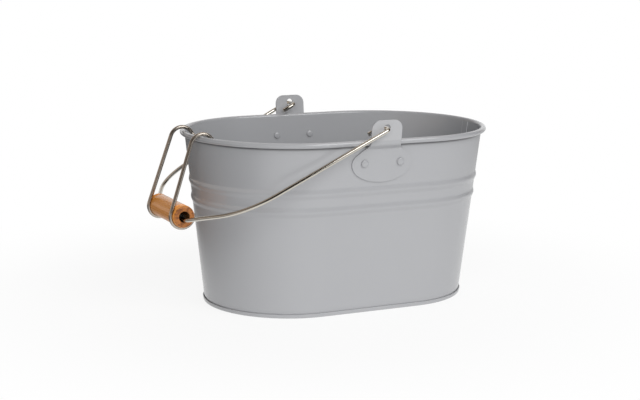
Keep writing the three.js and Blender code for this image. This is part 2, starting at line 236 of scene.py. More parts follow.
# %% World
AMBIENT = 0.36
LEFT_SHARE = 0.45
WHITE = (1, 1, 1, 1)
WARM = (1, 0.87, 0.77, 1)

seen = shade.ray("Camera")
mirrored = shade.math("MAXIMUM", shade.ray("Glossy"), shade.ray("Transmission"))
even = AMBIENT * (LEFT_SHARE + to_right.step(-0.8, 0.2) * (1 - LEFT_SHARE))
strength = shade.math("MAXIMUM", seen, mirrored * room + (1 - mirrored) * even)
tint = (mirrored * (1 - paper)).mix(WHITE, WARM)
light = shade.node("ShaderNodeBackground", None, {"Color": tint, "Strength": strength})
shade.node("ShaderNodeOutputWorld", None, {"Surface": light})
print(f"world: {AMBIENT} as light on the right, {LEFT_SHARE} of that on the left, 1 for the camera")

# %% [markdown]
# ## Lamps
# Three large lamps keep the shadows soft. The key stands to the right and high, the fill to the left and
# low, so that both slopes of a ridge get light, and the third lights the back, which other views show. A
# lamp's picture in a wire is a hard white line, so only the key shows in reflections.

# %% Soft lamps
LAMP_DISTANCE = 1.6


def soft_lamp(name, size, power, azimuth, elevation, in_reflections=False):
    toward = Vector((sin(azimuth) * cos(elevation), -cos(azimuth) * cos(elevation), sin(elevation)))
    lamp = bpy.data.objects.new(name, bpy.data.lights.new(name, "AREA"))
    lamp.data.size = size
    lamp.data.energy = power
    lamp.location = Vector((middle, 0, RIM_TOP / 2)) + toward * LAMP_DISTANCE
    lamp.rotation_mode = "QUATERNION"
    lamp.rotation_quaternion = (-toward).to_track_quat("-Z", "Y")
    lamp.visible_glossy = in_reflections
    scene.collection.objects.link(lamp)
    print(f"{name}: {size} m wide, {power} W, {LAMP_DISTANCE} m away")


soft_lamp("key", 1.0, 11, radians(20), radians(38), in_reflections=True)
soft_lamp("fill", 1.2, 12.5, radians(-26), radians(20))
soft_lamp("back", 1.6, 9, radians(155), radians(32))

# %% [markdown]
# ## Floor
# The bucket stands on a round sheet of white paper. Far out it glows plain white to the camera. Close to
# the bucket a part of it is real paper under the lamps, so it keeps the soft shadow. Reflections and
# scattered light find it bright in front and on the right and dull on the left. That gives the wires
# their pale lower lines and lights the undersides.

# %% Floor
FLOOR_RADIUS = 1.6
FLOOR_SIDES = 96

floor_shape = bmesh.new()
bmesh.ops.create_circle(floor_shape, cap_ends=True, segments=FLOOR_SIDES, radius=FLOOR_RADIUS)
floor = bpy.data.objects.new("floor", bpy.data.meshes.new("floor"))
floor_shape.to_mesh(floor.data)
floor_shape.free()
scene.collection.objects.link(floor)
print(f"floor {FLOOR_RADIUS} m from the middle to the edge")

# %% White paper
BLACK = (0, 0, 0, 1)
LEFT_GLOW = 0.15
RIGHT_GLOW = 0.9
FAR_LOSS = 0.4
SHADOW_SHARE = 0.14
BOUNCE = 0.7


def new_finish(name):
    material = bpy.data.materials.new(name)
    material.use_nodes = True
    material.node_tree.nodes.clear()
    return material, Shade(material.node_tree)


def close_finish(shade, surface):
    shade.node("ShaderNodeOutputMaterial", None, {"Surface": surface})
    print("nodes in this finish:", len(shade.tree.nodes))


white_paper, shade = new_finish("white_paper")
place = shade.place()
reach = place.length()
fibre = place.noise(900, 3)
tint = fibre.mix((0.9, 0.9, 0.9, 1), (0.94, 0.94, 0.94, 1))
sheet = shade.node("ShaderNodeBsdfPrincipled", None, {"Base Color": tint, "Roughness": 0.8})
seen = shade.ray("Camera")
mirrored = shade.math("MAXIMUM", shade.ray("Glossy"), shade.ray("Transmission"))
scattered = shade.ray("Diffuse")
lit_side = place.dot(rightward).step(-0.3, -0.1)
strip = LEFT_GLOW + lit_side * (RIGHT_GLOW - LEFT_GLOW - reach.step(0.35, 0.8) * FAR_LOSS)
paper_light = shade.math("MAXIMUM", seen, strip).mix(BLACK, WHITE)
glow = shade.node("ShaderNodeEmission", None, {"Color": paper_light, "Strength": 1.0})
shown = (1 - SHADOW_SHARE + reach.step(0.15, 0.4) * SHADOW_SHARE) * seen
glowing = shown + mirrored + scattered * BOUNCE
close_finish(shade, shade.node("ShaderNodeMixShader", None, {0: glowing, 1: sheet, 2: glow}))
floor.data.materials.append(white_paper)

# %% [markdown]
# ## Powder coat
# The steel is powder-coated after it is riveted, so wall, base, ears and rivets have one skin. Fused
# powder is satin: it has a faint orange peel under a millimetre wide and a fine grain in its gloss. A
# paler coat along the top of the rim and round the foot is a painted highlight. The seam's edges are worn
# paler, and that pale line is also a painted highlight. The fold under the roll is painted nearly black as
# painted shade. An image of paint would repeat, so noise on the object's own coordinates makes the skin,
# and two attributes that the sheets carry mark the worn and highlighted edges and the painted shade in the
# fold. The first number of a noise counts its waves to a metre, so 1500 gives marks of two thirds of a
# millimetre.

# %% Powder coat
COAT_LOW, COAT_HIGH = (0.342, 0.346, 0.36, 1), (0.367, 0.371, 0.384, 1)
COAT_GRAIN = (0.418, 0.422, 0.438, 1)
# The next three colours are painted light: a paler coat as a painted highlight, a worn coat that is also a
# painted highlight, and near black as painted shade.
COAT_HIGHLIGHT = (0.5, 0.5, 0.51, 1)
COAT_WORN_HIGHLIGHT = (0.66, 0.67, 0.69, 1)
FOLD_PAINTED_SHADE = (0.03, 0.03, 0.032, 1)
RIM_HIGHLIGHT = (RIM_TOP - 0.9 * MM, RIM_TOP)
FOOT_HIGHLIGHT = (0.2 * MM, 1.2 * MM)

powder_coat, shade = new_finish("grey_powder_coat")
place = shade.place()
height = place.part("Z")
drift = place.noise(14, 3)
peel = place.noise(1500, 1)
grain = place.noise(5200, 2)
# Painted highlight: the coat turns paler along the top of the rim and round the foot.
edge_highlight = height.step(*RIM_HIGHLIGHT) + (1 - height.step(*FOOT_HIGHLIGHT))
grey = drift.mix(COAT_LOW, COAT_HIGH)
grey = (grain * 0.25).mix(grey, COAT_GRAIN)
grey = (edge_highlight * 0.3).mix(grey, COAT_HIGHLIGHT)
# The seam's worn edges turn paler, and that pale line is also a painted highlight.
grey = (shade.attribute("worn") * 0.6).mix(grey, COAT_WORN_HIGHLIGHT)
# Painted shade: the fold under the roll is darkened nearly to black.
grey = (shade.attribute("fold") * 0.85).mix(grey, FOLD_PAINTED_SHADE)
gloss = 0.13 + drift * 0.05 + grain * 0.06
skin = shade.node("ShaderNodeBump", None, {"Strength": 0.12, "Distance": 0.1 * MM, "Height": peel})
coat = {"Base Color": grey, "Roughness": gloss, "Normal": skin, "Specular IOR Level": 0.85}
close_finish(shade, shade.node("ShaderNodeBsdfPrincipled", None, coat))

# %% [markdown]
# ## From a bmesh to a piece
# Each piece below is shaped as a bmesh. One helper turns it into an object: it shades the faces
# smoothly but keeps folded edges sharp, gives the finish, ties the piece to the body that it moves
# with, and hides the nodes of the frame that it stands for.

# %% Make a piece
SHARP = radians(38)


def make_piece(name, shape, body, finish, nodes):
    mesh = bpy.data.meshes.new(name)
    shape.to_mesh(mesh)
    shape.free()
    mesh.shade_smooth()
    mesh.set_sharp_from_angle(angle=SHARP)
    mesh.materials.append(finish)
    piece = bpy.data.objects.new(name, mesh)
    scene.collection.objects.link(piece)
    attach(piece, body)
    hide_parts(*nodes)
    print(f"{name}: {len(mesh.polygons)} faces, for {', '.join(nodes)}")
    return piece


print(f"edges that turn by more than {degrees(SHARP):.0f} degrees stay sharp")

# %% [markdown]
# ## The oval
# The wall and the base are one section carried round an oval. A lathe alone makes a round pail. Here the
# section is spun half a turn at one end, drawn straight along the side, spun half a turn at the other end
# and drawn back, and the last row is merged with the first. Each point of the section can carry a mark of
# painted shade, for how deep it lies in a fold, and the operators carry that mark along.

# %% Carry a section round the oval
END_STEPS = 60
SIDE_STEPS = 10
MERGE = 0.002 * MM


def edges_of(geometry):
    return [item for item in geometry if isinstance(item, bmesh.types.BMEdge)]


def verts_of(geometry):
    return [item for item in geometry if isinstance(item, bmesh.types.BMVert)]


def round_end(shape, rail, x):
    ends = rail + list(dict.fromkeys(vert for edge in rail for vert in edge.verts))
    swept = bmesh.ops.spin(shape, geom=ends, cent=(x, 0, 0), axis=(0, 0, 1), angle=pi, steps=END_STEPS)
    return edges_of(swept["geom_last"])


def long_side(shape, rail, run):
    for _ in range(SIDE_STEPS):
        drawn = bmesh.ops.extrude_edge_only(shape, edges=rail)["geom"]
        bmesh.ops.translate(shape, verts=verts_of(drawn), vec=(run / SIDE_STEPS, 0, 0))
        rail = edges_of(drawn)
    return rail


# A section point can carry a depth of painted shade, which the coat reads as darkening.
def round_the_oval(section, closes, fold_depth=lambda point: 0.0):
    shape = bmesh.new()
    fold = shape.verts.layers.float.new("fold")
    right = middle + straight
    verts = [shape.verts.new((right, -radius, level)) for radius, level in section]
    for vert, point in zip(verts, section):
        vert[fold] = fold_depth(point)
    rail = [shape.edges.new(pair) for pair in zip(verts, verts[1:])]
    if closes:
        rail.append(shape.edges.new((verts[-1], verts[0])))
    rail = round_end(shape, rail, right)
    rail = long_side(shape, rail, -2 * straight)
    rail = round_end(shape, rail, middle - straight)
    long_side(shape, rail, 2 * straight)
    bmesh.ops.remove_doubles(shape, verts=shape.verts, dist=MERGE)
    bmesh.ops.recalc_face_normals(shape, faces=shape.faces)
    return shape


print(f"an oval row has {2 * END_STEPS + 2 * SIDE_STEPS} faces")

# %% [markdown]
# ## Wall
# The wall is one strip of steel: it stands in the fold of the base, two swaged ridges stiffen it
# below the ears, and its top is rolled outward over a wire. Its outer face runs up into the inside of the
# roll, and its inner face runs over the outside of it, so one closed section gives the real thickness and
# the dark line under the rim, which painted shade on the points under the roll makes darker. The ridges
# are cosine humps, which leave no hard crease.

# %% Ridges
RIDGE_LEVELS = (85.7 * MM, 100.0 * MM)
RIDGE_HALF = 4.5 * MM
RIDGE_PROUD = 1.0 * MM
RIDGE_ROWS = 14
PLAIN_ROWS = 5
ROLL_ROWS = 9
ROLL_ROW = 0.5 * MM


def swage(level):
    out = 0.0
    for ridge in RIDGE_LEVELS:
        off = abs(level - ridge) / RIDGE_HALF
        out += RIDGE_PROUD * cos(off * pi / 2) ** 2 if off < 1 else 0.0
    return out


def wall_levels(foot, top):
    stops = [foot]
    for ridge in RIDGE_LEVELS:
        stops += [ridge - RIDGE_HALF + 2 * RIDGE_HALF * i / RIDGE_ROWS for i in range(RIDGE_ROWS + 1)]
    plain = stops[1] - foot
    rows = [foot + plain * i / PLAIN_ROWS for i in range(1, PLAIN_ROWS)]
    below_roll = [top - ROLL_ROW * i for i in range(ROLL_ROWS)]
    return sorted(stops + rows + [(stops[-1] + top) / 2] + below_roll)


levels = wall_levels(SHEET + GAP, bead_level - ROLL_ROW)
print("the wall bends at", len(levels), "levels")

# %% Wall
CURL_STOP = -112
INSIDE_STEPS = 28
OUTSIDE_STEPS = 36
CUT_EDGE_POINTS = 7
ROLL_SHADE_START = RIM_TOP - 6.4 * MM
ROLL_SHADE_REACH = 1.6 * MM


def arc(radius, start, stop, count, centre, squeeze=1.0):
    across, up = centre
    turns = [radians(start + (stop - start) * i / count) for i in range(count + 1)]
    return [(across + radius * cos(t), up + radius * squeeze * sin(t)) for t in turns]


slant = SHEET / cos(taper)
outer = [(wall_line(level) + swage(level), level) for level in levels]
inner = [(radius - slant, level) for radius, level in outer]
curl_start = 180 - degrees(taper)
roll_centre = (bead_line, bead_level)
inside_roll = arc(BEAD_RADIUS - SHEET, curl_start, CURL_STOP, INSIDE_STEPS, roll_centre)
outside_roll = arc(BEAD_RADIUS, CURL_STOP, curl_start, OUTSIDE_STEPS, roll_centre)
under_roll = set(outer + inside_roll + outside_roll[:CUT_EDGE_POINTS])


# Painted shade: points under the roll, up from a short way below the rim, get a depth that darkens the
# coat.
def roll_shade_depth(point):
    depth = (point[1] - ROLL_SHADE_START) / ROLL_SHADE_REACH
    return max(0.0, min(1.0, depth)) if point in under_roll else 0.0


wall_section = outer + inside_roll + outside_roll + inner[::-1]
wall_shape = round_the_oval(wall_section, True, roll_shade_depth)
print("wall section:", len(wall_section), "points, of which the roll has", len(inside_roll + outside_roll))

# %% [markdown]
# ## Side seam
# The strip's two ends are locked together at the right end of the oval, and the fold lies inside. It is
# a narrow strip over the ridges: a line of points drawn across and given a thickness. It stays part of
# the wall, because it is the same sheet. Its two edges are marked as worn and as a painted highlight, and
# show as pale lines.

# %% Seam
SEAM_HALF = 4.0 * MM
SEAM_PROUD = 0.6 * MM
SEAM_EDGE = 0.9 * MM
SEAM_FOOT = 5.0 * MM
SEAM_SHORT = 0.2 * MM

seam_top = bead_level - SEAM_SHORT
seam_face = middle + straight - slant - SEAM_PROUD
# The seam's edges are marked as worn, and the pale line they give is also a painted highlight.
worn = wall_shape.verts.layers.float.new("worn")
seam_levels = [level for level in levels if SEAM_FOOT < level < seam_top] + [seam_top]
seam_line = [(seam_face + wall_line(level) + swage(level), -SEAM_HALF, level) for level in seam_levels]
verts = [wall_shape.verts.new(point) for point in seam_line]
for vert in verts:
    vert[worn] = 1.0
rail = [wall_shape.edges.new(pair) for pair in zip(verts, verts[1:])]
seam_faces = []
for width, edge_wear_and_highlight in ((SEAM_EDGE, 0.0), (2 * SEAM_HALF - 2 * SEAM_EDGE, 0.0), (SEAM_EDGE, 1.0)):
    drawn = bmesh.ops.extrude_edge_only(wall_shape, edges=rail)["geom"]
    bmesh.ops.translate(wall_shape, verts=verts_of(drawn), vec=(0, width, 0))
    for vert in verts_of(drawn):
        vert[worn] = edge_wear_and_highlight
    rail = edges_of(drawn)
    seam_faces += [item for item in drawn if isinstance(item, bmesh.types.BMFace)]
bmesh.ops.recalc_face_normals(wall_shape, faces=seam_faces)
if seam_faces[0].normal.x > 0:
    bmesh.ops.reverse_faces(wall_shape, faces=seam_faces)
bmesh.ops.solidify(wall_shape, geom=seam_faces, thickness=SEAM_PROUD + SHEET / 2)
make_piece("wall_sheet", wall_shape, "bucket", powder_coat, ["bucket_wall"])

# %% [markdown]
# ## Base
# The floor sits a few millimetres up inside the wall. Its edge is folded down, under the wall's foot and
# up the outside as a hem, which is what the bucket stands on. The same section method makes it, from the
# middle of the floor to the fold and back, with small arcs where the sheet turns.

# %% Base
FLOOR_TOP = 4.2 * MM
HEM_ROUND = 1.0 * MM
FOOT_EASE = 0.25 * MM

hem_line = wall_line(HEM_HEIGHT) + GAP + SHEET
hem_lean = HEM_HEIGHT * flare
pan_edge = wall_line(FLOOR_TOP) - slant - GAP
foot_in = wall_line(0) - slant - GAP - SHEET
bend_centre = (pan_edge - 2 * SHEET, FLOOR_TOP - 2 * SHEET)
underside = [(0, FLOOR_TOP - SHEET), (pan_edge - 4 * SHEET, FLOOR_TOP - SHEET)]
turn_down = arc(SHEET, 90, 0, 5, bend_centre)
foot = [(foot_in, FOOT_EASE), (foot_in + FOOT_EASE, 0)]
turn_up = arc(HEM_ROUND, 270, 360, 8, (hem_line - hem_lean - HEM_ROUND, HEM_ROUND))
lip = arc(SHEET / 2, 0, 180, 8, (hem_line - SHEET / 2, HEM_HEIGHT - SHEET / 2))
bed = [(wall_line(SHEET) + GAP, SHEET), (wall_line(SHEET) - slant - GAP, SHEET)]
turn_in = arc(2 * SHEET, 0, 90, 6, bend_centre)
base_section = underside + turn_down + foot + turn_up + lip + bed + turn_in + [(0, FLOOR_TOP)]
base_shape = round_the_oval(base_section, False)
make_piece("base_sheet", base_shape, "bucket", powder_coat, ["base_pan"])

# %% [markdown]
# ## Ears
# Each ear is cut from sheet, with a tongue for the bail and a wide plate for two rivets, and bent so that
# it lies on the wall and passes round the rim. It could be modelled bent, but a sheet-metal worker's
# order is easier: draw half of the flat outline, mirror it, fill it round its hole, cut rows where it
# bends, and then push each row out to its place. Solidify and Bevel give the thickness and the eased
# edge.

# %% Flat ear
EAR_TOP = RIM_TOP + 15.59 * MM
TONGUE_HALF = 13.15 * MM
TONGUE_ROUND = 7.0 * MM
PLATE_HALF = 26.3 * MM
PLATE_MIDDLE = RIM_TOP - 19.0 * MM
PLATE_DEPTH = 14.8 * MM
HIP_TOP = PLATE_MIDDLE + 7.0 * MM
HIP_HALF = 22.5 * MM
NECK = RIM_TOP - 2 * BEAD_RADIUS

ease = (HIP_HALF - TONGUE_HALF) / 4


def curve(start, pull, stop, count=8):
    steps = [i / count for i in range(1, count + 1)]
    blend = [((1 - t) ** 2, 2 * t * (1 - t), t * t) for t in steps]
    return [tuple(a * p + b * q + c * r for p, q, r in zip(start, pull, stop)) for a, b, c in blend]


plate = arc(PLATE_HALF, -90, 0, 24, (0, PLATE_MIDDLE), PLATE_DEPTH / PLATE_HALF)
hip = curve(plate[-1], (PLATE_HALF, HIP_TOP - ease), (HIP_HALF, HIP_TOP))
neck_foot = (TONGUE_HALF + ease, NECK - ease)
neck = [neck_foot] + curve(neck_foot, (TONGUE_HALF, NECK), (TONGUE_HALF, NECK + ease))
crown = arc(TONGUE_ROUND, 0, 90, 12, (TONGUE_HALF - TONGUE_ROUND, EAR_TOP - TONGUE_ROUND))
half_outline = plate + hip + neck + crown + [(0, EAR_TOP)]
print("half outline of an ear:", len(half_outline), "points")

# %% Bends of an ear
SEAT = 0.05 * MM
JOG_TOP = RIM_TOP - 3.4 * MM
JOG_FOOT = JOG_TOP - 3.5 * MM
EAR_BEND = 0.8 * MM
BEND_SAMPLES = 9
BEND_ROWS = 30
BEND_MARGIN = 2.0 * MM

tongue_line = rim_half + SEAT


def sharp_ear(level):
    if level > JOG_TOP:
        return tongue_line + (level - JOG_TOP) * flare
    lying = wall_line(min(level, JOG_FOOT)) + SEAT / cos(taper)
    share = max(level - JOG_FOOT, 0) / (JOG_TOP - JOG_FOOT)
    return lying + (tongue_line - lying) * share


def bent_ear(level):
    spread = [EAR_BEND * (2 * i / (BEND_SAMPLES - 1) - 1) for i in range(BEND_SAMPLES)]
    return sum(sharp_ear(level + off) for off in spread) / BEND_SAMPLES


bend_from = JOG_FOOT - BEND_MARGIN
bend_run = JOG_TOP - JOG_FOOT + 2 * BEND_MARGIN
bend_levels = [bend_from + bend_run * i / BEND_ROWS for i in range(BEND_ROWS + 1)]
print(f"an ear steps out by {(bent_ear(RIM_TOP) - bent_ear(PLATE_MIDDLE)) / MM:.1f} mm round the rim")

# %% Bend an ear
HOLE_LEVEL = RIM_TOP + 9.6 * MM
HOLE_RADIUS = 2.8 * MM
HOLE_SIDES = 32
CUT_SNAP = 0.0001 * MM


def turned(side):
    return Matrix.Rotation(0 if side == "back" else pi, 4, "Z")


def ear_shape(side):
    shape = bmesh.new()
    verts = [shape.verts.new((x, 0, level)) for x, level in half_outline]
    for pair in zip(verts, verts[1:]):
        shape.edges.new(pair)
    bmesh.ops.mirror(shape, geom=shape.verts[:] + shape.edges[:], axis="X", merge_dist=MERGE)
    upright = Matrix.Translation((0, 0, HOLE_LEVEL)) @ Matrix.Rotation(pi / 2, 4, "X")
    bmesh.ops.create_circle(shape, segments=HOLE_SIDES, radius=HOLE_RADIUS, matrix=upright)
    bmesh.ops.remove_doubles(shape, verts=shape.verts, dist=MERGE)
    bmesh.ops.triangle_fill(shape, edges=shape.edges[:], use_beauty=True)
    for level in bend_levels:
        parts = shape.verts[:] + shape.edges[:] + shape.faces[:]
        plane = dict(plane_co=(0, 0, level), plane_no=(0, 0, 1), dist=CUT_SNAP)
        bmesh.ops.bisect_plane(shape, geom=parts, **plane)
    for vert in shape.verts:
        vert.co.y = bent_ear(vert.co.z)
    bmesh.ops.recalc_face_normals(shape, faces=shape.faces)
    if sum(face.normal.y * face.calc_area() for face in shape.faces) < 0:
        bmesh.ops.reverse_faces(shape, faces=shape.faces)
    placed = Matrix.Translation((middle, 0, 0)) @ turned(side)
    bmesh.ops.transform(shape, matrix=placed, verts=shape.verts)
    return shape


hole_depth = EAR_TOP - HOLE_LEVEL
print(f"hole of {2 * HOLE_RADIUS / MM:.1f} mm for the bail, {hole_depth / MM:.1f} mm under the ear's top")

# %% Ears
EAR_SHEET = 1.0 * MM
EAR_EASE = 0.22 * MM
EASED_ANGLE = radians(50)

for side in ("front", "back"):
    bent_sheet = ear_shape(side)
    ear = make_piece(f"{side}_ear", bent_sheet, "bucket", powder_coat, [f"ear_{side}"])
    thick = ear.modifiers.new("thickness", "SOLIDIFY")
    thick.thickness = EAR_SHEET
    thick.offset = 1
    eased = ear.modifiers.new("eased edge", "BEVEL")
    eased.width = EAR_EASE
    eased.segments = 2
    eased.limit_method = "ANGLE"
    eased.angle_limit = EASED_ANGLE
    ear.modifiers.new("flat shading", "WEIGHTED_NORMAL").keep_sharp = True

# %% [markdown]
# ## Rivets
# Two rivets hold each ear. Outside they have a low dome, and inside the end of the shank is set into a
# smaller one. A half section is spun a full turn, and the pole is closed by merging doubles. Each
# rivet stands square to the sloping wall.

# %% Shape of a rivet
OUTER_DOME, OUTER_RISE = 3.0 * MM, 1.0 * MM
INNER_DOME, INNER_RISE = 2.7 * MM, 0.6 * MM
SHANK_RADIUS = 1.5 * MM
RIVET_EDGE = 0.75 * MM
RIVET_STEPS = 32

held = SHEET + 2 * SEAT + EAR_SHEET
inner_dome = arc(INNER_DOME, 270, 360, 8, (0, -SEAT - RIVET_EDGE), INNER_RISE / INNER_DOME)
shank = [(INNER_DOME, -SEAT), (SHANK_RADIUS, -SEAT), (SHANK_RADIUS, held), (OUTER_DOME, held)]
outer_dome = arc(OUTER_DOME, 0, 90, 9, (0, held + RIVET_EDGE), OUTER_RISE / OUTER_DOME)
rivet_section = inner_dome + shank + outer_dome


def rivet_shape(seat):
    shape = bmesh.new()
    verts = [shape.verts.new((radius, out, 0)) for radius, out in rivet_section]
    for pair in zip(verts, verts[1:]):
        shape.edges.new(pair)
    whole = shape.verts[:] + shape.edges[:]
    bmesh.ops.spin(shape, geom=whole, axis=(0, 1, 0), angle=2 * pi, steps=RIVET_STEPS, use_merge=True)
    bmesh.ops.remove_doubles(shape, verts=shape.verts, dist=MERGE)
    bmesh.ops.recalc_face_normals(shape, faces=shape.faces)
    bmesh.ops.transform(shape, matrix=seat, verts=shape.verts)
    return shape


print(f"a rivet holds {held / MM:.1f} mm of sheet")

# %% Rivets
RIVET_LEVEL = RIM_TOP - 18.2 * MM
RIVET_APART = 31.2 * MM

rivet_depth = wall_line(RIVET_LEVEL) - slant
for side, out in (("front", -1), ("back", 1)):
    for hand, along in (("left", -0.5), ("right", 0.5)):
        spot = Vector((middle + along * RIVET_APART, out * rivet_depth, RIVET_LEVEL))
        seat = Matrix.Translation(spot) @ turned(side) @ Matrix.Rotation(-taper, 4, "X")
        node = f"rivet_{side}_{hand}"
        make_piece(f"{side}_{hand}_rivet", rivet_shape(seat), "bucket", powder_coat, [node])

# %% [markdown]
# ## Nickel plate
# The bail and the hook are drawn steel wire with a warm nickel plate. Drawing leaves fine lines along
# the wire, and handling dulls the plate in patches. Lines that follow a bent wire need coordinates that
# follow it too, so the wires carry an attribute with the place round the section and the length along it.

# %% Nickel plate
LINE_TONE = (0.5, 0.45, 0.39, 1)


def nickel_plate(name, dark, light, dullness):
    finish, shade = new_finish(name)
    place = shade.place()
    lines = shade.attribute("wire", "Vector").noise(26, 2)
    patch = place.noise(90, 3)
    speck = place.noise(1800, 2)
    tone = (lines * 0.4).mix(patch.mix(dark, light), LINE_TONE)
    gloss = dullness + patch * 0.06 + lines * 0.03 + speck * 0.03
    skin = shade.node("ShaderNodeBump", None, {"Strength": 0.08, "Distance": 0.06 * MM, "Height": lines})
    sockets = {"Base Color": tone, "Metallic": 1.0, "Roughness": gloss, "Normal": skin}
    close_finish(shade, shade.node("ShaderNodeBsdfPrincipled", None, sockets))
    return finish


bright_plate = nickel_plate("bright_nickel", (0.63, 0.6, 0.54, 1), (0.76, 0.73, 0.66, 1), 0.04)
dull_plate = nickel_plate("dull_nickel", (0.46, 0.41, 0.36, 1), (0.58, 0.53, 0.47, 1), 0.2)

# %% [markdown]
# ## A wire and its bends
# A wire bender works from a cut end: it feeds a straight length, turns a bend, and goes on. The class
# below does the same to a circle. A straight run is one extrusion, and a bend is a row of small
# extrusions, each turned about the bend's own axis. A curve with a bevel would also give a wire, but here
# each run and bend is a plain length, angle and radius. Both wires of the bucket are alike on its two
# sides, so half of each is bent and then mirrored.

# %% Bend a wire
WIRE_SIDES = 20
BEND_STEP = 6
WIRE_EASE = 0.25 * MM


class Wire:
    def __init__(self, start, heading, diameter):
        self.shape = bmesh.new()
        self.marks = self.shape.verts.layers.float_vector.new("wire")
        ring = bmesh.ops.create_circle(self.shape, cap_ends=True, segments=WIRE_SIDES, radius=diameter / 2)
        for vert in ring["verts"]:
            vert[self.marks] = vert.co / diameter
        aimed = heading.to_track_quat("Z", "Y").to_matrix().to_4x4()
        bmesh.ops.transform(self.shape, matrix=Matrix.Translation(start) @ aimed, verts=ring["verts"])
        self.rail = self.shape.edges[:]
        self.at = start.copy()
        self.heading = heading.copy()
        self.length = 0.0

    def grow(self, move, length):
        made = bmesh.ops.extrude_edge_only(self.shape, edges=self.rail)["geom"]
        bmesh.ops.transform(self.shape, matrix=move, verts=verts_of(made))
        for vert in verts_of(made):
            vert[self.marks] += Vector((0, 0, length))
        self.rail = edges_of(made)
        self.at = move @ self.at
        self.heading = (move.to_3x3() @ self.heading).normalized()
        self.length += length

    def run(self, length):
        self.grow(Matrix.Translation(self.heading * length), length)

    def bend(self, axis, angle, radius):
        steps = ceil(degrees(angle) / BEND_STEP)
        hub = self.at + axis.cross(self.heading) * radius
        turn = Matrix.Rotation(angle / steps, 4, axis)
        move = Matrix.Translation(hub) @ turn @ Matrix.Translation(-hub)
        for _ in range(steps):
            self.grow(move, radius * angle / steps)

    def corner(self, at, after, radius):
        onward = (after - at).normalized()
        turn = self.heading.angle(onward)
        self.run((at - self.at).length - radius * tan(turn / 2))
        self.bend(self.heading.cross(onward).normalized(), turn, radius)

    def both_halves(self):
        end_faces = [face for face in self.shape.faces if len(face.verts) == WIRE_SIDES]
        rim = [edge for face in end_faces for edge in face.edges]
        eased = dict(offset=WIRE_EASE, segments=2, profile=0.5, affect="EDGES", material=-1)
        bmesh.ops.bevel(self.shape, geom=rim, **eased)
        whole = self.shape.verts[:] + self.shape.edges[:] + self.shape.faces[:]
        bmesh.ops.mirror(self.shape, geom=whole, axis="Y", merge_dist=MERGE)
        bmesh.ops.remove_doubles(self.shape, verts=self.shape.verts, dist=MERGE)
        bmesh.ops.recalc_face_normals(self.shape, faces=self.shape.faces)
        print(f"wire of {2 * self.length / MM:.0f} mm")
        return self.shape


print("a wire knows:", ", ".join(name for name in vars(Wire) if not name.startswith("_")))

# %% [markdown]
# ## Bail
# The bail starts at its short tail inside the ear, turns out through the hole, runs along the side of
# the bucket, rounds a wide shoulder and passes through the grip. It lies in one plane that drops from
# the hinge to the grip, so each of its corners is a place down that plane and out from its middle.

# %% Corners of the bail
BAIL_DROP = radians(26.3)
BAIL_HALF = 94.094 * MM
TAIL_HALF = 79.087 * MM
SHOULDER_REACH = 30.0 * MM
ARM_LEAN = 6.5 * MM
GRIP_HALF = 30.0 * MM
EXIT_LEAD = 3.0 * MM

hinge = joint_at["bail_swing"]
axle = joint_at["grip_spin"]
down_arm = Vector((-cos(BAIL_DROP), 0, -sin(BAIL_DROP)))
sideways = Vector((0, 1, 0))
bail_reach = (hinge.x - axle.x) / cos(BAIL_DROP)


def bail_point(down, out):
    return hinge + down_arm * down + sideways * out


inside_ear = bail_point(0, TAIL_HALF)
outside_ear = bail_point(0, BAIL_HALF)
shoulder = bail_point(bail_reach - SHOULDER_REACH, BAIL_HALF - ARM_LEAN)
leaving = bail_point(bail_reach, GRIP_HALF + EXIT_LEAD)
centre = bail_point(bail_reach, 0)
print(f"the bail reaches {bail_reach / MM:.0f} mm from its hinge")

# %% Bail
BAIL_WIRE = 3.3 * MM
TAIL_LENGTH = 12.0 * MM
BAIL_BEND = 3.3 * MM
SHOULDER_RADIUS = 48.0 * MM

exit_turn = (shoulder - leaving).angle(leaving - centre)
bail = Wire(bail_point(TAIL_LENGTH, TAIL_HALF), -down_arm, BAIL_WIRE)
bail.corner(inside_ear, outside_ear, BAIL_BEND)
bail.corner(outside_ear, shoulder, BAIL_BEND)
bail.corner(shoulder, leaving, SHOULDER_RADIUS)
bail.corner(leaving, centre, EXIT_LEAD / tan(exit_turn / 2))
bail.run(bail.at.y)
make_piece("bail", bail.both_halves(), "bail", bright_plate, ["bail_wire"])

# %% [markdown]
# ## Line hook
# The hook is one wire too. Each end wraps the grip in a groove as an eye, a leg rises from it, leaning in a
# little, a crook goes over the rim or the line, and a cross bar joins the two crooks inside. The leg is
# the straight line that touches both the eye's circle and the crook's circle.

# %% Circles of the hook
HOOK_WIRE = 3.1 * MM
EYE_HALF = 25.0 * MM
EYE_RADIUS = 9.45 * MM
CROOK_HALF = 22.5 * MM
CROOK_RADIUS = 9.7 * MM
CROOK_OFFSET = 1.2 * MM

crook_drop = CROOK_RADIUS - HOOK_WIRE / 2 - BEAD_RADIUS - GAP
crook_x = middle - straight - sqrt(bead_line**2 - CROOK_HALF**2) - CROOK_OFFSET
crook_z = bead_level - sqrt(crook_drop**2 - CROOK_OFFSET**2)
apart = hypot(crook_x - axle.x, crook_z - axle.z)
leg_angle = atan2(crook_z - axle.z, crook_x - axle.x) + acos((EYE_RADIUS - CROOK_RADIUS) / apart)
leg = sqrt(apart**2 - (EYE_RADIUS - CROOK_RADIUS) ** 2)
lean_in = atan2(EYE_HALF - CROOK_HALF, leg)
print(f"legs of {leg / MM:.0f} mm, leaning in by {degrees(lean_in):.1f} degrees")

# %% Hook
EYE_WRAP = radians(205)
CROOK_END = radians(30)
HOOK_BEND = 4.0 * MM

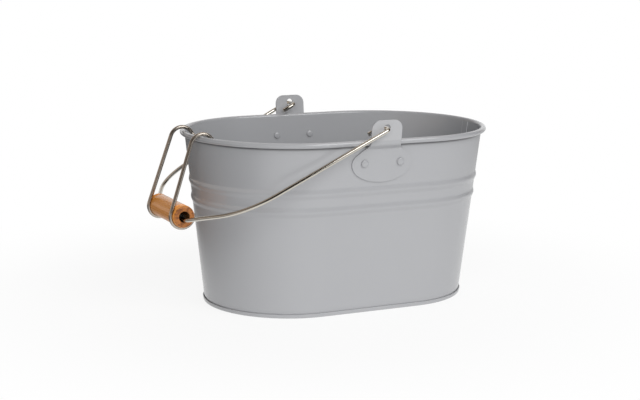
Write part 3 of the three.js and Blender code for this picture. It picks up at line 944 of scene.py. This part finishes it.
start_angle = leg_angle + EYE_WRAP
cut_end = axle + Vector((EYE_RADIUS * cos(start_angle), EYE_HALF, EYE_RADIUS * sin(start_angle)))
hook = Wire(cut_end, Vector((sin(start_angle), 0, -cos(start_angle))), HOOK_WIRE)
hook.bend(sideways, EYE_WRAP, EYE_RADIUS)
inward = sideways.cross(hook.heading).normalized()
hook.bend(inward, lean_in, EYE_RADIUS)
hook.run(hypot(leg, EYE_HALF - CROOK_HALF) - 2 * EYE_RADIUS * tan(lean_in / 2))
hook.bend(-inward, lean_in, EYE_RADIUS)
hook.bend(sideways, leg_angle - CROOK_END, CROOK_RADIUS)
hook.bend(sideways.cross(hook.heading), pi / 2, HOOK_BEND)
hook.run(hook.at.y)
make_piece("hook", hook.both_halves(), "hook", dull_plate, ["line_hook"])

# %% [markdown]
# ## Wood
# The grip is turned hardwood under thin lacquer. Grain is what is left of the tree's rings: they are
# shells about a heart that lies outside so small a piece, so on the side they show as long streaks and on
# the ends as curved bands. Short dark pores run with the grain. The cut ends soak up more lacquer and go
# darker in patches. The bore and a thin ring round it are painted nearly black, as painted shade in the
# hole.

# %% Grain
BORE_RADIUS = 4.1 * MM
GRAIN_STRETCH = 0.08
HEART = (11 * MM, 0, 17 * MM)
RING_WIDTH = 1.9 * MM
RING_WANDER = 1.3
CUT_END = (GRIP_HALF - 1.4 * MM, GRIP_HALF - 0.2 * MM)
# The distance from the axis over which painted shade fills the bore and a thin ring round it.
BORE_SHADE_REACH = (BORE_RADIUS + 0.05 * MM, BORE_RADIUS + 0.6 * MM)

wood, shade = new_finish("turned_wood")
local = shade.place().mapped(location=(-axle.x, 0, -axle.z))
drawn_out = local.mapped(scale=(1, GRAIN_STRETCH, 1))
wander = drawn_out.noise(110, 2)
from_heart = drawn_out.mapped(location=HEART).length()
ring = shade.math("FRACT", from_heart / RING_WIDTH + wander * RING_WANDER)
late = ring.step(0.45, 0.95) * (1 - ring.step(0.95, 1.0))
pores = drawn_out.noise(2600, 2).step(0.6, 0.72)
blotch = drawn_out.noise(260, 2)
cut = shade.math("ABSOLUTE", local.part("Y")).step(*CUT_END)
soaked = cut * local.noise(480, 3).step(0.42, 0.66)
from_axis = local.mapped(scale=(1, 0, 1)).length()
# Painted shade: the bore and a thin ring round its mouth are darkened.
bore_shade = 1 - from_axis.step(*BORE_SHADE_REACH)
print("nodes in the grain:", len(shade.tree.nodes))

# %% Lacquered wood
WOOD_LOW, WOOD_HIGH = (0.79, 0.3, 0.048, 1), (0.84, 0.335, 0.06, 1)
LATE_WOOD = (0.5, 0.185, 0.038, 1)
PORE = (0.24, 0.08, 0.018, 1)
CUT_WOOD = (0.3, 0.1, 0.022, 1)
SOAKED_WOOD = (0.13, 0.038, 0.009, 1)
# Near black, painted shade in the bore.
BORE_PAINTED_SHADE = (0.03, 0.012, 0.006, 1)

tone = blotch.mix(WOOD_LOW, WOOD_HIGH)
tone = (late * 0.08).mix(tone, LATE_WOOD)
tone = (pores * 0.14).mix(tone, PORE)
tone = (cut * 0.85).mix(tone, CUT_WOOD)
tone = (soaked * 0.75).mix(tone, SOAKED_WOOD)
# Painted shade in and round the bore.
tone = (bore_shade * 0.9).mix(tone, BORE_PAINTED_SHADE)
gloss = 0.27 + late * 0.05 + pores * 0.12 + cut * 0.2
relief = late * 0.4 - pores
skin = shade.node("ShaderNodeBump", None, {"Strength": 0.12, "Distance": 0.08 * MM, "Height": relief})
lacquer = {"Base Color": tone, "Roughness": gloss, "Normal": skin}
lacquer |= {"Coat Weight": 0.26 - cut * 0.22, "Coat Roughness": 0.14}
close_finish(shade, shade.node("ShaderNodeBsdfPrincipled", None, lacquer))

# %% [markdown]
# ## Grip
# The grip is a turning: a rod with eased ends, a bore for the bail and a round groove near each end for an
# eye of the hook. Its half section is a closed loop, and a full spin about the grip's axis makes the
# solid.

# %% Section of the grip
GRIP_RADIUS = 8.8 * MM
GRIP_EASE = 2.0 * MM
BORE_EASE = 0.5 * MM
GROOVE_RADIUS = 2.0 * MM
GROOVE_DEPTH = 1.2 * MM

groove_hub = GRIP_RADIUS - GROOVE_DEPTH + GROOVE_RADIUS
opening = degrees(acos((GROOVE_RADIUS - GROOVE_DEPTH) / GROOVE_RADIUS))
mouth = [(BORE_RADIUS, -GRIP_HALF + BORE_EASE), (BORE_RADIUS + BORE_EASE, -GRIP_HALF)]
rounded_end = arc(GRIP_EASE, 270, 360, 8, (GRIP_RADIUS - GRIP_EASE, GRIP_EASE - GRIP_HALF))
groove = arc(GROOVE_RADIUS, 180 + opening, 180 - opening, 10, (groove_hub, -EYE_HALF))
half_turning = mouth + rounded_end + groove
turning = half_turning + [(radius, -y) for radius, y in half_turning[::-1]]
print("section of the grip:", len(turning), "points")

# %% Grip
GRIP_STEPS = 72

grip_shape = bmesh.new()
verts = [grip_shape.verts.new((axle.x + radius, y, axle.z)) for radius, y in turning]
for pair in zip(verts, verts[1:] + verts[:1]):
    grip_shape.edges.new(pair)
whole = grip_shape.verts[:] + grip_shape.edges[:]
full_turn = dict(cent=axle, axis=sideways, angle=2 * pi, steps=GRIP_STEPS, use_merge=True)
bmesh.ops.spin(grip_shape, geom=whole, **full_turn)
bmesh.ops.remove_doubles(grip_shape, verts=grip_shape.verts, dist=MERGE)
bmesh.ops.recalc_face_normals(grip_shape, faces=grip_shape.faces)
make_piece("turned_grip", grip_shape, "grip", wood, ["grip"])

# %% [markdown]
# ## Rim wire
# The wire inside the rolled rim only shows through the narrow gap under the roll. The frame's own node
# has the right shape for that, so it stays and gets plain drawn steel, a little stained.

# %% Rim wire
plain_steel, shade = new_finish("plain_steel")
stain = shade.place().noise(160, 3)
tone = stain.mix((0.3, 0.3, 0.3, 1), (0.46, 0.46, 0.45, 1))
steel = {"Base Color": tone, "Metallic": 1.0, "Roughness": 0.34 + stain * 0.2}
close_finish(shade, shade.node("ShaderNodeBsdfPrincipled", None, steel))
rim_wire = frame["nodes"]["rim_wire"]
rim_wire.data.materials.clear()
rim_wire.data.materials.append(plain_steel)

# %% [markdown]
